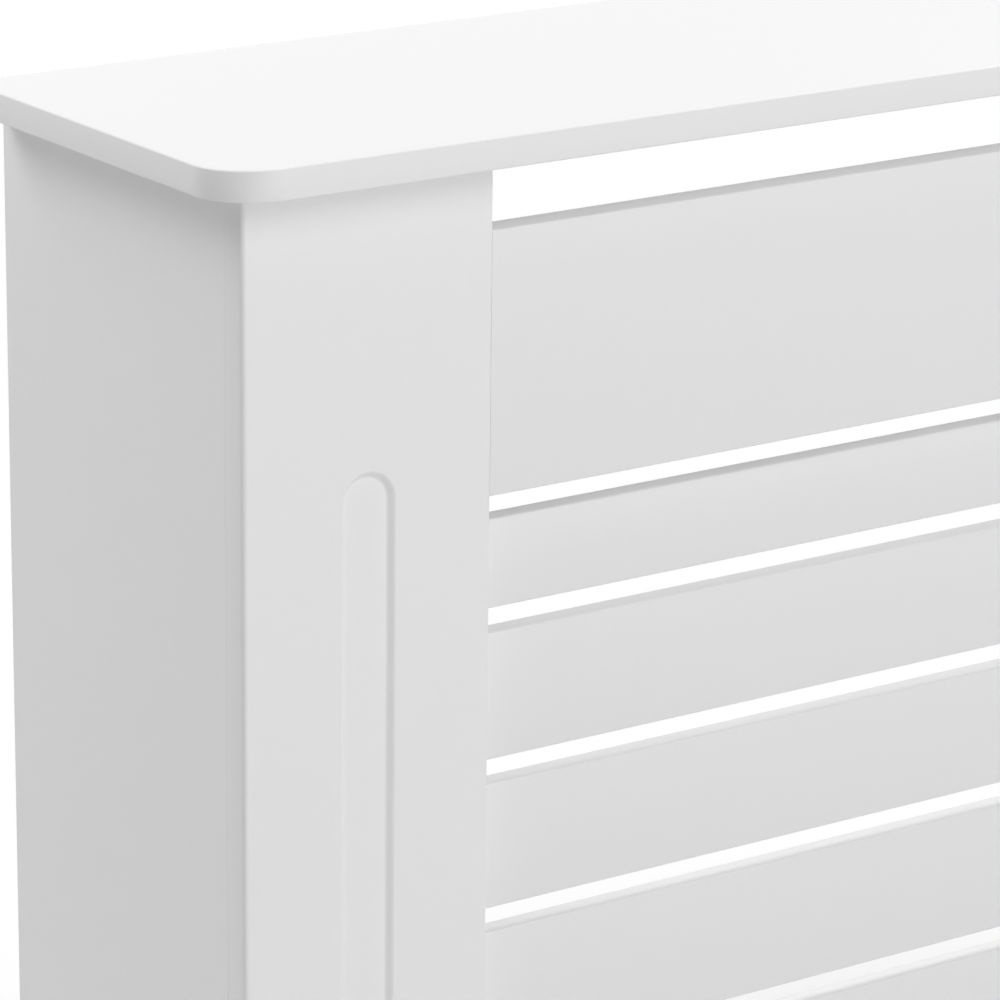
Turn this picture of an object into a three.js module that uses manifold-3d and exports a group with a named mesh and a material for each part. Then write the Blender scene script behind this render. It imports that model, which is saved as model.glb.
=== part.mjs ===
// Radiator cover cabinet: a slim case of white painted MDF that stands against a wall around a radiator.
//
// Millimetres, +Z up. The front faces -Y, the wall is at the +Y side, and left is -X as seen from the front.
// The origin is on the floor, under the middle of the shelf.
//
// The front is one frame: two fluted pillars with an upper and a lower rail dowelled between them. Slats lie
// across the back of the frame, screwed to a batten in the middle. The pillars cover the front edges of the
// side panels, and the shelf rests on top. The back and the bottom are open.

import * as THREE from 'three';
import { mergeVertices } from 'three/addons/utils/BufferGeometryUtils.js';
import Module from 'manifold-3d';

const wasm = await Module();
wasm.setup();

// ---- Overall size ----
const WIDTH = 1120;
const DEPTH = 190;
const HEIGHT = 815;

// ---- Shelf ----
const SHELF_THICKNESS = 12;
const SHELF_CORNER_RADIUS = 25;
const SHELF_EASE = 0.8; // rounding of the shelf's edges
const FRONT_OVERHANG = 15;
const SIDE_OVERHANG = 15;

// ---- Side panels ----
const SIDE_THICKNESS = 12;
const SKIRTING_DEPTH = 16; // notch at the foot of the wall side
const SKIRTING_HEIGHT = 100;

// ---- Pillars ----
const FRONT_THICKNESS = 12; // pillars and rails
const PILLAR_WIDTH = 110;
const PILLAR_ARRIS = 2; // rounding of the outer front upright edge
const FLUTE_WIDTH = 25;
const FLUTE_DEPTH = 2.5;
const FLUTE_COVE = 1.5; // rounding where the flute's walls meet its floor
const FLUTE_MARGIN = 112; // bare pillar above and below the flute

// ---- Rails and slats ----
const RAIL_HEIGHT = 104;
const OUTLET_GAP = 27; // warm air, between the shelf and the upper rail
const INLET_GAP = 51; // cold air, between the floor and the lower rail
const RAIL_GAP = 13.5; // between a rail and the slat next to it
const EDGE_EASE = 0.8; // rounding of the rails' and slats' long front edges
const SLAT_THICKNESS = 9;
const SLAT_GAP = 10;
const FIRST_SLAT_HEIGHT = 36;
const UPPER_SLAT_HEIGHT = 52;
const UPPER_SLAT_COUNT = 2;
const LOWER_SLAT_COUNT = 5; // alike, down to the lower rail
const SLAT_LAP = 60; // length of each slat end behind a pillar

// ---- Battens behind the front ----
const BATTEN_THICKNESS = 18;
const BATTEN_WIDTH = 30; // middle batten and its packers
const BATTEN_INSET = 20; // from the outer edges of the rails
const CORNER_BATTEN_SIZE = 18;
const CORNER_BATTEN_INSET = 30; // from the floor and from the shelf
const CORNER_SCREW_INSET = 90; // from each end of a corner batten

// ---- Dowels ----
const DOWEL_DIAMETER = 6;
const DOWEL_LENGTH = 30;
const DOWEL_CHAMFER = 0.8;
const DOWEL_INSET = 24; // from the top and bottom of a rail
const DOWEL_END_ROOM = 1; // for glue, past each end of a dowel

// ---- Corner blocks that hold the shelf to the side panels ----
const BLOCK_LENGTH = 30;
const BLOCK_SIZE = 18;
const BLOCK_FLOOR = 5; // plastic under a screw head
const BLOCK_INSET = 20; // from the front and rear edges of a side panel
const BLOCK_EASE = 1;

// ---- Wall brackets under the shelf ----
const BRACKET_WIDTH = 20;
const BRACKET_LEG = 40;
const BRACKET_THICKNESS = 2.5;
const BRACKET_BEND = 1.5; // inner radius of the bend
const BRACKET_HOLE_INSET = 25; // from the bend to both holes
const BRACKET_SIDE_GAP = 150; // from a side panel
const WALL_HOLE_DIAMETER = 5.5;

// ---- Countersunk wood screws ----
const SCREW_DIAMETER = 3.5;
const SCREW_HEAD_DIAMETER = 7;
const SCREW_HEAD_DEPTH = 2;
const SCREW_TIP = 4;
const SCREW_RECESS_DIAMETER = 3;
const SCREW_RECESS_DEPTH = 1.2;
const SCREW_COVER = 3; // board left past the tip of a screw

// ---- Clearances and roundness ----
const CLEARANCE = 0.3; // between a fastener and its hole
const PAST = 1; // how far a cutter runs past a face
const CORNER_STEPS = 8;
const EDGE_STEPS = 2;
const HOLE_SIDES = 12;

// ---- Places that follow from the sizes ----
const frontY = -DEPTH / 2 + FRONT_OVERHANG;
const frameBackY = frontY + FRONT_THICKNESS;
const slatBackY = frameBackY + SLAT_THICKNESS;
const wallY = DEPTH / 2;
const sideOuterX = WIDTH / 2 - SIDE_OVERHANG;
const sideInnerX = sideOuterX - SIDE_THICKNESS;
const pillarInnerX = sideOuterX - PILLAR_WIDTH;
const caseTop = HEIGHT - SHELF_THICKNESS;
const upperRailTop = caseTop - OUTLET_GAP;
const upperRailBottom = upperRailTop - RAIL_HEIGHT;
const lowerRailTop = INLET_GAP + RAIL_HEIGHT;

const LEFT = -1;
const RIGHT = 1;
const SIDES = [['left', LEFT], ['right', RIGHT]];

const whitePaint = new THREE.MeshStandardMaterial({ color: 0xf2f2f1, roughness: 0.45, metalness: 0 });
const whitePrimer = new THREE.MeshStandardMaterial({ color: 0xe9e8e4, roughness: 0.75, metalness: 0 });
const beech = new THREE.MeshStandardMaterial({ color: 0xd9b382, roughness: 0.7, metalness: 0 });
const whitePlastic = new THREE.MeshStandardMaterial({ color: 0xeeeeec, roughness: 0.5, metalness: 0 });
const zincPlate = new THREE.MeshStandardMaterial({ color: 0xc3c6c9, roughness: 0.35, metalness: 1 });

const cabinet = new THREE.Group();

// ---- Shapes ----

/** A rectangle about the origin; radii are those of the corners (-,-), (+,-), (+,+) and (-,+). */
function roundedRectangle(width, height, [first, second, third, fourth]) {
  const x = width / 2;
  const y = height / 2;
  const shape = new THREE.Shape();
  shape.moveTo(-x + first, -y);
  shape.lineTo(x - second, -y);
  if (second > 0) shape.absarc(x - second, -y + second, second, -Math.PI / 2, 0);
  shape.lineTo(x, y - third);
  if (third > 0) shape.absarc(x - third, y - third, third, 0, Math.PI / 2);
  shape.lineTo(-x + fourth, y);
  if (fourth > 0) shape.absarc(-x + fourth, y - fourth, fourth, Math.PI / 2, Math.PI);
  shape.lineTo(-x, -y + first);
  if (first > 0) shape.absarc(-x + first, -y + first, first, Math.PI, Math.PI * 1.5);
  return shape;
}

/** Extrudes a shape by a length, centred on the shape's plane. */
function extrude(shape, length, curveSegments = EDGE_STEPS) {
  const geometry = new THREE.ExtrudeGeometry(shape, { depth: length, bevelEnabled: false, curveSegments });
  return geometry.translate(0, 0, -length / 2);
}

/** Turns an extrusion so that its shape lies in the Y-Z plane and its length along X. */
function alongX(geometry) {
  const basis = new THREE.Matrix4().makeBasis(
    new THREE.Vector3(0, 1, 0),
    new THREE.Vector3(0, 0, 1),
    new THREE.Vector3(1, 0, 0),
  );
  return geometry.applyMatrix4(basis);
}

/** A body of revolution about Z, from its radii and heights, lowest first. */
function revolve(points) {
  const profile = points.map(([radius, height]) => new THREE.Vector2(radius, height));
  return new THREE.LatheGeometry(profile, HOLE_SIDES).rotateX(Math.PI / 2);
}

/** A board across the front: its two long front edges are eased. */
function crossBoard(length, thickness, height) {
  return alongX(extrude(roundedRectangle(thickness, height, [EDGE_EASE, 0, 0, EDGE_EASE]), length));
}

// ---- Solids: joining and cutting ----

/** The solid of a closed geometry. */
function solidOf(geometry) {
  const bare = geometry.clone();
  bare.deleteAttribute('normal');
  bare.deleteAttribute('uv');
  const merged = mergeVertices(bare);
  const index = Array.from(merged.index.array);
  const corners = [];
  for (let i = 0; i < index.length; i += 3) {
    const [a, b, c] = index.slice(i, i + 3);
    if (a !== b && b !== c && c !== a) corners.push(a, b, c);
  }
  return new wasm.Manifold(new wasm.Mesh({
    numProp: 3,
    vertProperties: new Float32Array(merged.attributes.position.array),
    triVerts: new Uint32Array(corners),
  }));
}

/** The flat-shaded geometry of a solid. */
function geometryOf(solid) {
  const mesh = solid.getMesh();
  const indexed = new THREE.BufferGeometry();
  indexed.setAttribute('position', new THREE.BufferAttribute(mesh.vertProperties, 3));
  indexed.setIndex(new THREE.BufferAttribute(mesh.triVerts, 1));
  const geometry = indexed.toNonIndexed();
  geometry.computeVertexNormals();
  return geometry;
}

/** Cuts a tool out of a board. The tool lies in the frame of the placed object. */
function cutFrom(board, tool, placed) {
  const toBoard = board.matrixWorld.clone().invert().multiply(placed.matrixWorld);
  const cutter = solidOf(tool.clone().applyMatrix4(toBoard));
  board.geometry = geometryOf(solidOf(board.geometry).subtract(cutter));
}

/** Adds one piece to the cabinet at a place. */
function add(name, geometry, material, x, y, z) {
  const mesh = new THREE.Mesh(geometry, material);
  mesh.name = name;
  mesh.position.set(x, y, z);
  mesh.updateMatrixWorld();
  cabinet.add(mesh);
  return mesh;
}

// ---- Fasteners ----

/** A countersunk screw with its head's top at the origin, pointing down. */
function screwShape(length) {
  const shank = SCREW_DIAMETER / 2;
  return revolve([
    [0, -length],
    [shank, -length + SCREW_TIP],
    [shank, -SCREW_HEAD_DEPTH],
    [SCREW_HEAD_DIAMETER / 2, 0],
    [SCREW_RECESS_DIAMETER / 2, 0],
    [0, -SCREW_RECESS_DEPTH],
  ]);
}

/** The room that a screw takes: its own shape grown by the clearance, and a bore for the driver above it. */
function screwRoom(length, driverRoom) {
  const shank = SCREW_DIAMETER / 2 + CLEARANCE;
  const head = SCREW_HEAD_DIAMETER / 2 + CLEARANCE;
  return revolve([
    [0, -length - CLEARANCE],
    [shank, -length + SCREW_TIP - CLEARANCE],
    [shank, -SCREW_HEAD_DEPTH - CLEARANCE],
    [head, -CLEARANCE],
    [head, driverRoom],
    [0, driverRoom],
  ]);
}

/**
 * Drives a screw. It starts at a point, goes through a thickness of pieces and stops short of the far face
 * of the last board, and each board or block on its way gets the screw's room.
 */
function driveScrew(name, point, direction, { through, last, pieces, driverRoom = PAST }) {
  const length = through + last - SCREW_COVER;
  const screw = add(name, screwShape(length), zincPlate, ...point);
  screw.quaternion.setFromUnitVectors(new THREE.Vector3(0, 0, -1), new THREE.Vector3(...direction));
  screw.updateMatrixWorld();
  const room = screwRoom(length, driverRoom);
  for (const piece of pieces) cutFrom(piece, room, screw);
}

/** Sets a dowel along X across the joint of two boards. */
function setDowel(name, x, y, z, boards) {
  const radius = DOWEL_DIAMETER / 2;
  const half = DOWEL_LENGTH / 2;
  const shape = revolve([
    [0, -half],
    [radius - DOWEL_CHAMFER, -half],
    [radius, -half + DOWEL_CHAMFER],
    [radius, half - DOWEL_CHAMFER],
    [radius - DOWEL_CHAMFER, half],
    [0, half],
  ]);
  const room = revolve([
    [0, -half - DOWEL_END_ROOM],
    [radius + CLEARANCE, -half - DOWEL_END_ROOM],
    [radius + CLEARANCE, half + DOWEL_END_ROOM],
    [0, half + DOWEL_END_ROOM],
  ]);
  const dowel = add(name, shape.rotateY(Math.PI / 2), beech, x, y, z);
  for (const board of boards) cutFrom(board, room.clone().rotateY(Math.PI / 2), dowel);
}

// ---- Shelf ----

function buildShelf() {
  const outline = roundedRectangle(WIDTH, DEPTH, [SHELF_CORNER_RADIUS, SHELF_CORNER_RADIUS, 0, 0]);
  const geometry = new THREE.ExtrudeGeometry(outline, {
    depth: SHELF_THICKNESS - 2 * SHELF_EASE,
    bevelThickness: SHELF_EASE,
    bevelSize: SHELF_EASE,
    bevelOffset: -SHELF_EASE,
    bevelSegments: EDGE_STEPS,
    curveSegments: CORNER_STEPS,
  });
  geometry.translate(0, 0, SHELF_EASE);
  return add('top_shelf', geometry, whitePaint, 0, 0, caseTop);
}

// ---- Case sides ----

/** A side panel: an upright board with a notch for the skirting board at the foot of its wall side. */
function buildSidePanel(label, side) {
  const outline = new THREE.Shape([
    new THREE.Vector2(frameBackY, 0),
    new THREE.Vector2(wallY - SKIRTING_DEPTH, 0),
    new THREE.Vector2(wallY - SKIRTING_DEPTH, SKIRTING_HEIGHT),
    new THREE.Vector2(wallY, SKIRTING_HEIGHT),
    new THREE.Vector2(wallY, caseTop),
    new THREE.Vector2(frameBackY, caseTop),
  ]);
  const geometry = alongX(extrude(outline, SIDE_THICKNESS));
  return add(`side_panel_${label}`, geometry, whitePaint, side * (sideOuterX - SIDE_THICKNESS / 2), 0, 0);
}

// ---- Front frame ----

/** The flute's cutter: a slot with round ends and coved floor edges, open towards the front. */
function fluteCutter(length) {
  const radius = FLUTE_WIDTH / 2;
  const slot = roundedRectangle(FLUTE_WIDTH, length, [radius, radius, radius, radius]);
  const geometry = new THREE.ExtrudeGeometry(slot, {
    depth: FLUTE_DEPTH,
    bevelThickness: FLUTE_COVE,
    bevelSize: FLUTE_COVE,
    bevelOffset: -FLUTE_COVE,
    bevelSegments: EDGE_STEPS,
    curveSegments: CORNER_STEPS,
  });
  // The slot's floor is at the low end; turn it to face the front.
  return geometry.translate(0, 0, FLUTE_COVE).rotateX(Math.PI / 2);
}

/** A pillar: a board as tall as the case, rounded at its outer front upright edge, with one flute. */
function buildPillar(label, side) {
  const arrises = side === LEFT ? [PILLAR_ARRIS, 0, 0, 0] : [0, PILLAR_ARRIS, 0, 0];
  const plan = roundedRectangle(PILLAR_WIDTH, FRONT_THICKNESS, arrises);
  const x = side * (sideOuterX - PILLAR_WIDTH / 2);
  const y = frontY + FRONT_THICKNESS / 2;
  const pillar = add(`front_pillar_${label}`, extrude(plan, caseTop), whitePaint, x, y, caseTop / 2);
  const flute = fluteCutter(caseTop - 2 * FLUTE_MARGIN);
  flute.translate(0, -FRONT_THICKNESS / 2 + FLUTE_DEPTH, 0);
  cutFrom(pillar, flute, pillar);
  return pillar;
}

/** A rail between the pillars, flush with their fronts, with two dowels in each end. */
function buildRail(label, bottom, top, pillars) {
  const y = frontY + FRONT_THICKNESS / 2;
  const geometry = crossBoard(2 * pillarInnerX, FRONT_THICKNESS, top - bottom);
  const rail = add(`${label}_rail`, geometry, whitePaint, 0, y, (bottom + top) / 2);
  SIDES.forEach(([sideLabel, side], i) => {
    const joint = [rail, pillars[i]];
    setDowel(`dowel_${label}_${sideLabel}_high`, side * pillarInnerX, y, top - DOWEL_INSET, joint);
    setDowel(`dowel_${label}_${sideLabel}_low`, side * pillarInnerX, y, bottom + DOWEL_INSET, joint);
  });
  return rail;
}

/** Slat heights from the top down. The lower slats share what the upper ones leave between the rails. */
function slatHeights() {
  const top = upperRailBottom - RAIL_GAP;
  const bottom = lowerRailTop + RAIL_GAP;
  const taken = FIRST_SLAT_HEIGHT + UPPER_SLAT_COUNT * (SLAT_GAP + UPPER_SLAT_HEIGHT);
  const lowerHeight = (top - bottom - taken) / LOWER_SLAT_COUNT - SLAT_GAP;
  return [
    FIRST_SLAT_HEIGHT,
    ...Array(UPPER_SLAT_COUNT).fill(UPPER_SLAT_HEIGHT),
    ...Array(LOWER_SLAT_COUNT).fill(lowerHeight),
  ];
}

/** The slats, laid across the back of the pillars from the top down. */
function buildSlats() {
  const length = 2 * (pillarInnerX + SLAT_LAP);
  const y = frameBackY + SLAT_THICKNESS / 2;
  let top = upperRailBottom - RAIL_GAP;
  return slatHeights().map((height, i) => {
    const geometry = crossBoard(length, SLAT_THICKNESS, height);
    const slat = add(`slat_${i + 1}`, geometry, whitePaint, 0, y, top - height / 2);
    top -= height + SLAT_GAP;
    return { slat, middle: slat.position.z };
  });
}

// ---- Battens ----

/** The middle batten: it stands behind the slats and, on a packer, behind each rail. */
function buildMiddleBatten(slats, rails) {
  const low = INLET_GAP + BATTEN_INSET;
  const high = upperRailTop - BATTEN_INSET;
  const battenY = slatBackY + BATTEN_THICKNESS / 2;
  const battenShape = new THREE.BoxGeometry(BATTEN_WIDTH, BATTEN_THICKNESS, high - low);
  const batten = add('middle_batten', battenShape, whitePrimer, 0, battenY, (low + high) / 2);
  const screwY = slatBackY + BATTEN_THICKNESS;
  const forward = [0, -1, 0];

  slats.forEach(({ slat, middle }, i) => {
    driveScrew(`slat_screw_${i + 1}`, [0, screwY, middle], forward, {
      through: BATTEN_THICKNESS,
      last: SLAT_THICKNESS,
      pieces: [batten, slat],
    });
  });

  for (const { label, rail, bottom, top } of rails) {
    const height = top - bottom - 2 * BATTEN_INSET;
    const middle = (bottom + top) / 2;
    const packerShape = new THREE.BoxGeometry(BATTEN_WIDTH, SLAT_THICKNESS, height);
    const packerY = frameBackY + SLAT_THICKNESS / 2;
    const packer = add(`packer_${label}`, packerShape, whitePrimer, 0, packerY, middle);
    driveScrew(`rail_screw_${label}`, [0, screwY, middle], forward, {
      through: BATTEN_THICKNESS + SLAT_THICKNESS,
      last: FRONT_THICKNESS,
      pieces: [batten, packer, rail],
    });
  }
}

/** A corner batten: glued behind the pillar and screwed to the side panel. */
function buildCornerBatten(label, side, sidePanel) {
  const half = CORNER_BATTEN_SIZE / 2;
  const low = CORNER_BATTEN_INSET;
  const high = caseTop - CORNER_BATTEN_INSET;
  const x = side * (sideInnerX - half);
  const y = frameBackY + half;
  const shape = new THREE.BoxGeometry(CORNER_BATTEN_SIZE, CORNER_BATTEN_SIZE, high - low);
  const batten = add(`corner_batten_${label}`, shape, whitePrimer, x, y, (low + high) / 2);
  const heights = [['high', high - CORNER_SCREW_INSET], ['low', low + CORNER_SCREW_INSET]];
  for (const [place, z] of heights) {
    driveScrew(`batten_screw_${label}_${place}`, [x - side * half, y, z], [side, 0, 0], {
      through: CORNER_BATTEN_SIZE,
      last: SIDE_THICKNESS,
      pieces: [batten, sidePanel],
    });
  }
}

// ---- Shelf fittings ----

/** A corner block in the angle of the shelf and a side panel, with one screw into each. */
function buildCornerBlock(label, side, place, y, sidePanel, shelf) {
  const half = BLOCK_SIZE / 2;
  const x = side * (sideInnerX - half);
  const z = caseTop - half;
  const shape = roundedRectangle(BLOCK_SIZE, BLOCK_LENGTH, Array(4).fill(BLOCK_EASE));
  const block = add(`corner_block_${label}_${place}`, extrude(shape, BLOCK_SIZE), whitePlastic, x, y, z);
  const driverRoom = BLOCK_SIZE - BLOCK_FLOOR + PAST;
  const offset = BLOCK_LENGTH / 4;
  driveScrew(`block_shelf_screw_${label}_${place}`, [x, y - offset, caseTop - BLOCK_FLOOR], [0, 0, 1], {
    through: BLOCK_FLOOR,
    last: SHELF_THICKNESS,
    pieces: [block, shelf],
    driverRoom,
  });
  const headX = side * (sideInnerX - BLOCK_FLOOR);
  driveScrew(`block_side_screw_${label}_${place}`, [headX, y + offset, z], [side, 0, 0], {
    through: BLOCK_FLOOR,
    last: SIDE_THICKNESS,
    pieces: [block, sidePanel],
    driverRoom,
  });
}

/** The side view of a wall bracket: an L with its corner at the top of the wall side. */
function bracketOutline() {
  const outer = BRACKET_BEND + BRACKET_THICKNESS;
  const shape = new THREE.Shape();
  shape.moveTo(0, -BRACKET_LEG);
  shape.lineTo(0, -outer);
  shape.absarc(-outer, -outer, outer, 0, Math.PI / 2);
  shape.lineTo(-BRACKET_LEG, 0);
  shape.lineTo(-BRACKET_LEG, -BRACKET_THICKNESS);
  shape.lineTo(-outer, -BRACKET_THICKNESS);
  shape.absarc(-outer, -outer, BRACKET_BEND, Math.PI / 2, 0, true);
  shape.lineTo(-BRACKET_THICKNESS, -BRACKET_LEG);
  shape.closePath();
  return shape;
}

/** A wall bracket: one leg screwed up into the shelf, the other flat to the wall with a hole for its screw. */
function buildWallBracket(label, side, shelf) {
  const x = side * (sideInnerX - BRACKET_SIDE_GAP);
  const geometry = alongX(extrude(bracketOutline(), BRACKET_WIDTH));
  const bracket = add(`wall_bracket_${label}`, geometry, zincPlate, x, wallY, caseTop);
  const wallHole = new THREE.CylinderGeometry(
    WALL_HOLE_DIAMETER / 2, WALL_HOLE_DIAMETER / 2, BRACKET_THICKNESS + 2 * PAST, HOLE_SIDES,
  );
  wallHole.translate(0, -BRACKET_THICKNESS / 2, -BRACKET_HOLE_INSET);
  cutFrom(bracket, wallHole, bracket);
  const head = [x, wallY - BRACKET_HOLE_INSET, caseTop - BRACKET_THICKNESS];
  driveScrew(`bracket_screw_${label}`, head, [0, 0, 1], {
    through: BRACKET_THICKNESS,
    last: SHELF_THICKNESS,
    pieces: [bracket, shelf],
  });
}

// ---- Assembly ----

const shelf = buildShelf();
const sidePanels = SIDES.map(([label, side]) => buildSidePanel(label, side));
const pillars = SIDES.map(([label, side]) => buildPillar(label, side));
const slats = buildSlats();
const upperRail = buildRail('upper', upperRailBottom, upperRailTop, pillars);
const lowerRail = buildRail('lower', INLET_GAP, lowerRailTop, pillars);
buildMiddleBatten(slats, [
  { label: 'upper', rail: upperRail, bottom: upperRailBottom, top: upperRailTop },
  { label: 'lower', rail: lowerRail, bottom: INLET_GAP, top: lowerRailTop },
]);

const blockPlaces = [
  ['front', frameBackY + BLOCK_INSET + BLOCK_LENGTH / 2],
  ['rear', wallY - BLOCK_INSET - BLOCK_LENGTH / 2],
];
SIDES.forEach(([label, side], i) => {
  buildCornerBatten(label, side, sidePanels[i]);
  for (const [place, y] of blockPlaces) buildCornerBlock(label, side, place, y, sidePanels[i], shelf);
  buildWallBracket(label, side, shelf);
});

export default cabinet;
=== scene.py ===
import math

import bmesh
import bpy
import numpy as np
from mathutils import Matrix, Vector


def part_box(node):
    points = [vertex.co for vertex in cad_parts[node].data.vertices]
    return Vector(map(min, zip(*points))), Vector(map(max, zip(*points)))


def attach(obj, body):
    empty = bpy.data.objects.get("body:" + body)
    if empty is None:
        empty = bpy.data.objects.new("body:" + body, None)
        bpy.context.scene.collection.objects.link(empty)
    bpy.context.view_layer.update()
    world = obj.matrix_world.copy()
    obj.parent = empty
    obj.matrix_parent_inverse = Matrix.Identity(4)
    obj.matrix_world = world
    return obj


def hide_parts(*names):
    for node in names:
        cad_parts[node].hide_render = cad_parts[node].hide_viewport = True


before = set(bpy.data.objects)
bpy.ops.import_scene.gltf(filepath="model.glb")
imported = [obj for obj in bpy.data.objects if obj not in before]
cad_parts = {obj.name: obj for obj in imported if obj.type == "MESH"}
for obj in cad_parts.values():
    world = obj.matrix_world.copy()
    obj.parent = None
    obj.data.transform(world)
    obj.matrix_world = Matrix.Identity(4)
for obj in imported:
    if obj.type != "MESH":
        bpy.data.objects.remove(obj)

bl_info = {
    "name": "Radiator cover cabinet",
    "version": (1, 0, 0),
    "blender": (4, 5, 0),
    "location": "3D Viewport > Sidebar > Radiator cover",
    "description": "Builds the painted boards, the fastenings and the stage of a radiator cover cabinet",
    "category": "Object",
}

# Metres, +Z up. The front faces -Y, the wall is at +Y, and left is -X as seen from the front.
MM = 0.001
FULL_TURN = 2 * math.pi
QUARTER_TURN = math.pi / 2
SHARP_ANGLE = math.radians(40)
CORNER_STEPS = 24
EASE_STEPS = 4
OGEE_STEPS = 10
SEAM_BAND = 0.1 * MM  # flat band beside an eased edge, so that the shading of the faces stays flat
SAME_PLACE = 0.01 * MM
LEFT_TO_RIGHT = (("left", -1), ("right", 1))

# Battens, which are bevelled copies of their CAD nodes.
MERGE_DISTANCE = 0.001 * MM
FLAT_ANGLE = math.radians(0.5)
SHORTEST_EASED_EDGE = 5 * MM
BEVEL_SEGMENTS = 2

# Screws and dowels.
SCREW_SIDES = 32
THREAD_STEPS = 8  # rings in each turn of the thread
TOOTH_WIDTH = 0.5  # share of the pitch that the foot of the thread takes
RECESS_WIDTHS = (0.45, 0.85, 1.0)  # of the cross recess from its floor to its rim, as shares of the rim
RECESS_DEPTHS = (1.0, 0.3, 0.0)  # of the same rings, as shares of the depth
DOWEL_FLUTES = 16

# Stage.
PLAIN_WHITE = (1.0, 1.0, 1.0, 1.0)
FLOOR_HALF_SIZE = 12.0
FLOOR_WHITE = 0.8
FLOOR_WHITE_SEEN = 1.12  # lighter to the camera, so that the lit floor comes out white and keeps its shadow
FLOOR_FADE = (0.55, 1.15)  # distances between which the floor turns plain white
LAMP_AIM = Vector((-0.25, 0.0, 0.6))
CAMERA_PLACE = (-1.4690, -1.5690, 1.2230)
CAMERA_YAW = 34.90  # to the right of the Y axis, in degrees
CAMERA_PITCH = 16.94  # downwards
CAMERA_ROLL = 0.63
SENSOR_WIDTH = 36.0  # millimetres
CLIP_START = 0.05
CLIP_END = 100.0

# Axis orders: what a flat outline's two axes and its thickness axis become in the row frame.
PLAN = ((0, 1.0), (1, 1.0), (2, 1.0))  # outline in X and Y, thickness up Z
SECTION = ((1, 1.0), (2, 1.0), (0, 1.0))  # outline in Y and Z, length along X
ELEVATION = ((0, 1.0), (2, 1.0), (1, -1.0))  # outline in X and Z, thickness towards the viewer


# ---- Reading the frame ----


def corners_of(node):
    """The lowest and the highest corner of a CAD node as two arrays."""
    low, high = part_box(node)
    return np.array(low), np.array(high)


def nodes_named(prefix):
    """The names of the CAD nodes that start with a prefix, or with one of several, sorted."""
    return sorted(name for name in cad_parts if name.startswith(prefix))


def cabinet_material(finish):
    """The scene's material for one finish, made on first use and named for what it is."""
    maker = MATERIAL_MAKERS[finish]
    if maker.__name__ not in bpy.data.materials:
        maker(maker.__name__)
    return bpy.data.materials[maker.__name__]


# ---- Surfaces ----


def outline(corners, radii, steps=CORNER_STEPS):
    """A closed outline, counterclockwise: its points and their mitres.

    A corner with radius r becomes the arc c - r m + r (cos t, sin t), t running from one side's outward
    normal to the next one's. A corner without radius stays one point. Moving the outline in by d takes each
    point p to p - d m, where m is its mitre: the normal on an arc, and (n1 + n2) / (1 + n1 n2) at a sharp
    corner. So each radius is 0, or larger than the deepest inset of the outline's profile.
    """
    corners = np.asarray(corners, float)
    arriving = corners - np.roll(corners, 1, axis=0)
    arriving /= np.linalg.norm(arriving, axis=1)[:, None]
    first = np.stack([arriving[:, 1], -arriving[:, 0]], axis=1)
    second = np.roll(first, -1, axis=0)
    mitre = (first + second) / (1 + (first * second).sum(axis=1))[:, None]
    points = []
    mitres = []
    for corner, radius, n1, n2, m in zip(corners, radii, first, second, mitre):
        if radius <= 0:
            points.append(corner[None])
            mitres.append(m[None])
            continue
        start = math.atan2(n1[1], n1[0])
        turn = (math.atan2(n2[1], n2[0]) - start) % FULL_TURN
        angle = start + turn * np.linspace(0, 1, steps + 1)
        normal = np.stack([np.cos(angle), np.sin(angle)], axis=1)
        points.append(corner - radius * m + radius * normal)
        mitres.append(normal)
    return np.concatenate(points), np.concatenate(mitres)


def eased_profile(low, high, low_ease, high_ease):
    """Insets and heights of a board's edge, from its low face to its high one.

    Each ease is a quarter circle: inset e (1 - sin t) at height low + e (1 - cos t), and the same mirrored
    at the high face. A narrow flat band lies inside each face's rim.
    """
    t = np.linspace(0, QUARTER_TURN, EASE_STEPS + 1)
    inset = []
    height = []
    if low_ease > 0:
        inset += [[low_ease + SEAM_BAND], low_ease * (1 - np.sin(t))]
        height += [[low], low + low_ease * (1 - np.cos(t))]
    else:
        inset.append([0.0])
        height.append([low])
    if high_ease > 0:
        inset += [high_ease * (1 - np.cos(t)), [high_ease + SEAM_BAND]]
        height += [high - high_ease * (1 - np.sin(t)), [high]]
    else:
        inset.append([0.0])
        height.append([high])
    return np.concatenate(inset), np.concatenate(height)


def rings_of(points, mitres, inset, height):
    """Rings (profile step, outline point, 3): the outline moved in by each inset, at each height."""
    flat = points[None] - inset[:, None, None] * mitres[None]
    level = np.broadcast_to(height[:, None, None], flat.shape[:2] + (1,))
    return np.concatenate([flat, level], axis=2)


def in_row_frame(rings, order):
    """Turns rings from outline axes to the row frame by an axis order."""
    placed = np.empty_like(rings)
    for source, (axis, sign) in enumerate(order):
        placed[..., axis] = sign * rings[..., source]
    return placed


def closed_faces(rings, around):
    """Quads between neighbouring rings, and a flat face over the first and over the last ring."""
    grid = np.arange(rings * around).reshape(rings, around)
    ahead = np.roll(grid, -1, axis=1)
    quads = np.stack([grid[:-1], ahead[:-1], ahead[1:], grid[1:]], axis=-1).reshape(-1, 4)
    return quads.tolist() + [grid[0, ::-1].tolist(), grid[-1].tolist()]


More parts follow.
